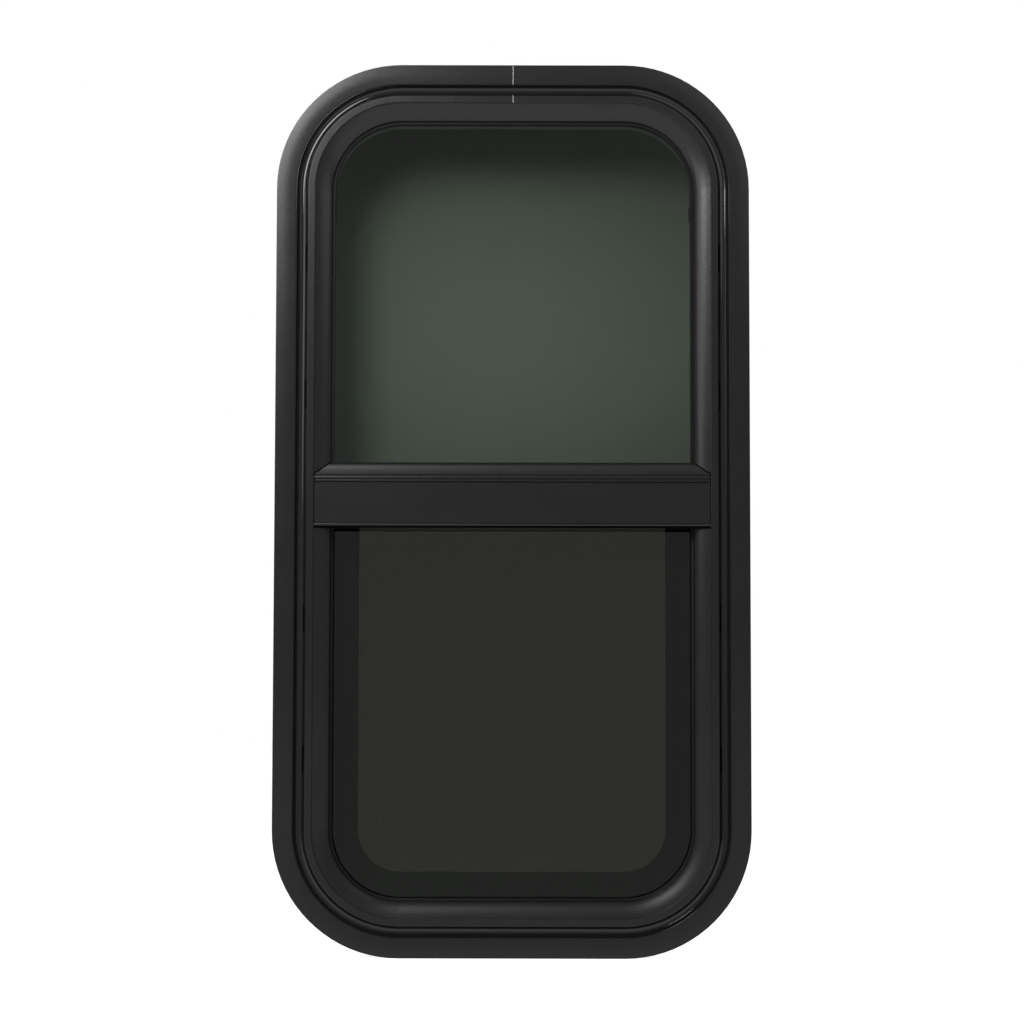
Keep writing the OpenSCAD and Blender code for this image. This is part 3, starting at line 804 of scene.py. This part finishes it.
def card_paper(nodes):
    """White paper with a painted pool of light, brightest where the middle of the upper pane shows it.

    With a and b the distances from there, across and up, each over its scale, its tone is
    0.93 - 0.15 a^2 - 0.19 b^2, and at least 0.3.
    """
    brightest_z, across_scale, up_scale = 542 * MM, 153 * MM, 114 * MM
    x, _, z = nodes.axes()
    across, up = x / across_scale, (z - brightest_z) / up_scale
    # Painted light: the tone falls away from the painted pool of light.
    tone = (0.93 - across * across * 0.15 - up * up * 0.19).math("MAXIMUM", 0.3)
    paper = nodes.node("ShaderNodeCombineColor", {}, {0: tone, 1: tone, 2: tone})
    return nodes.node("ShaderNodeBsdfDiffuse", {}, {"Color": paper})


def painted_room_glow(nodes):
    """An even, warm glow that paints the light of a dim room behind the fly screen."""
    return nodes.node("ShaderNodeEmission", {}, {"Color": opaque((0.34, 0.27, 0.27))})


def flat_sheet(name, corners, surface):
    """A sheet for the stage, with the surface that a function of its material's nodes gives."""
    material = bpy.data.materials.new(name + "_surface")
    nodes = Nodes(material)
    nodes.node("ShaderNodeOutputMaterial", {}, {"Surface": surface(nodes)})
    mesh = bpy.data.meshes.new(name)
    mesh.from_pydata(corners, [], [(0, 1, 2, 3)])
    mesh.materials.append(material)
    sheet = bpy.data.objects.new(name, mesh)
    bpy.context.scene.collection.objects.link(sheet)
    return sheet


def build_stage():
    """A pale floor under the window, and a card close behind it that only its glass shows.

    The card is white paper with a painted pool of light behind the upper pane, and behind the lower one a
    sheet whose even glow paints the light of a dim room.
    """
    reach, floor_z = 12.0, frame_low.z
    floor = flat_sheet("floor", [(-reach, -reach, floor_z), (reach, -reach, floor_z),
                                 (reach, reach, floor_z), (-reach, reach, floor_z)], floor_paper)
    floor.visible_glossy = False
    card_y, margin = 90 * MM, 80 * MM
    rail_low, rail_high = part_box("meeting_rail")
    middle = (rail_low[2] + rail_high[2]) / 2
    left, right = frame_low.x - margin, frame_high.x + margin
    for name, low, high, surface in (("card", middle, frame_high.z + margin, card_paper),
                                     ("card_foot", floor_z, middle, painted_room_glow)):
        corners = [(left, card_y, low), (right, card_y, low), (right, card_y, high), (left, card_y, high)]
        card = flat_sheet(name, corners, surface)
        card.visible_camera = False
        card.visible_glossy = False
        card.visible_diffuse = False
        card.visible_shadow = False


# Each round lamp's place, diameter, watts, and whether the window mirrors it. All of them
# face the window's middle, and the last one is there to light the card.
LAMPS = {
    "key": ((-0.55, -1.10, 1.15), 0.6, 8.1, True),
    "left_front": ((-0.85, -0.85, 0.76), 0.62, 1.6, True),
    "right_front": ((0.50, -0.50, 1.00), 0.8, 1.1, True),
    "card_light": ((-0.45, -1.10, 1.15), 0.55, 7.4, False),
}


def hang_lamps():
    """Soft light, mostly from the upper left in front."""
    for name, (place, size, watts, mirrored) in LAMPS.items():
        light = bpy.data.lights.new(name, "AREA")
        light.shape = "DISK"
        light.size = size
        light.energy = watts
        lamp = bpy.data.objects.new(name, light)
        bpy.context.scene.collection.objects.link(lamp)
        turn = (window_middle - Vector(place)).to_track_quat("-Z", "Y")
        lamp.matrix_world = Matrix.Translation(place) @ turn.to_matrix().to_4x4()
        lamp.visible_camera = False
        lamp.visible_glossy = mirrored


def light_surround():
    """A surround that the camera sees white, also through glass.

    What the window mirrors of it is bright below the horizon, where the floor lies, dimmer
    above it and darkest overhead. It is dark beside the window and bright behind.
    """
    world = bpy.data.worlds.new("surround")
    bpy.context.scene.world = world
    nodes = Nodes(world)
    _, backward, upward = nodes.axes("Generated")
    floor_glow, front_glow, side_glow, back_glow = 0.84, 0.33, 0.05, 0.85
    above_floor = nodes.mapped(upward, -0.15, -0.09, floor_glow, front_glow)
    front = above_floor * nodes.mapped(upward, 0.35, 0.65, 1.0, 0.2)
    beside = backward.between(-0.1, 0.3)
    behind = backward.between(0.5, 0.7)
    strength = front + (side_glow - front) * beside + behind * back_glow
    shown = strength.math("MAXIMUM", seen_rays(nodes))
    background = nodes.node("ShaderNodeBackground", {}, {"Color": opaque((1, 1, 1)), "Strength": shown})
    nodes.node("ShaderNodeOutputWorld", {}, {"Surface": background})


build_stage()
hang_lamps()
light_surround()

for pane in ("fixed_glass", "sash_glass"):
    frame["nodes"][pane].visible_shadow = False

view = bpy.context.scene.view_settings
view.view_transform = "Standard"
